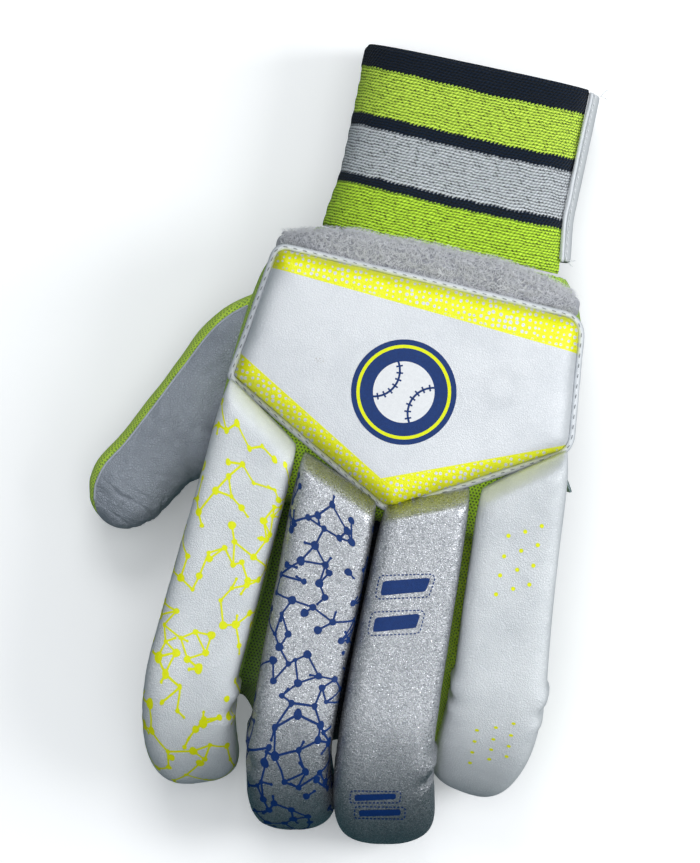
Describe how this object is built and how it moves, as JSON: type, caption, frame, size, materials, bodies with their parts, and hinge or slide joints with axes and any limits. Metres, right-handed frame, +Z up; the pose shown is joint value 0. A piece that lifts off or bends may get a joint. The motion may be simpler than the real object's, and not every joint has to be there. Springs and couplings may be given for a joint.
{
  "type": "cricket batting glove",
  "caption": "Left-hand batting glove lying palm down: padded fingers and back, mesh body, leather palm, knitted wristband and strap.",
  "frame": {"origin": "under the middle of the glove's bounding box, on the surface it lies on", "axes": "+Y from the fingertips to the wristband, +Z up from the palm to the back of the hand, -X towards the thumb"},
  "size_m": [0.167, 0.2636, 0.0636],
  "materials": {
    "white_leather": "white pad leather with printed decoration, slightly glossy, fine grain",
    "silver_leather": "metallic silver coated leather with a fine sparkling grain",
    "palm_leather": "soft plain leather",
    "thumb_leather": "soft wrinkled grey leather",
    "strap_leather": "smooth white strap leather",
    "white_binding": "thin white stitched edging",
    "green_mesh": "neon green open mesh cloth",
    "knit": "elastic knit in neon green, navy and grey stripes",
    "fleece": "fluffy grey towelling",
    "tape": "woven teal-grey tape"
  },
  "bodies": {
    "root": {"palm": "palm_leather", "back_mesh": "green_mesh", "thumb_leather": "thumb_leather", "thumb_mesh": "green_mesh", "thumb_guard": "palm_leather", "back_pad": "white_leather", "back_pad_binding": "white_binding", "side_tab": "tape", "index_front": "palm_leather", "index_back": "green_mesh", "middle_front": "palm_leather", "middle_back": "green_mesh", "ring_front": "palm_leather", "ring_back": "green_mesh", "little_front": "palm_leather", "little_back": "green_mesh", "index_pad": "white_leather", "middle_pad": "silver_leather", "ring_pad": "silver_leather", "little_pad": "white_leather", "wristband": "knit", "wrist_strap": "strap_leather", "fleece_roll": "fleece"}
  },
  "joints": []
}
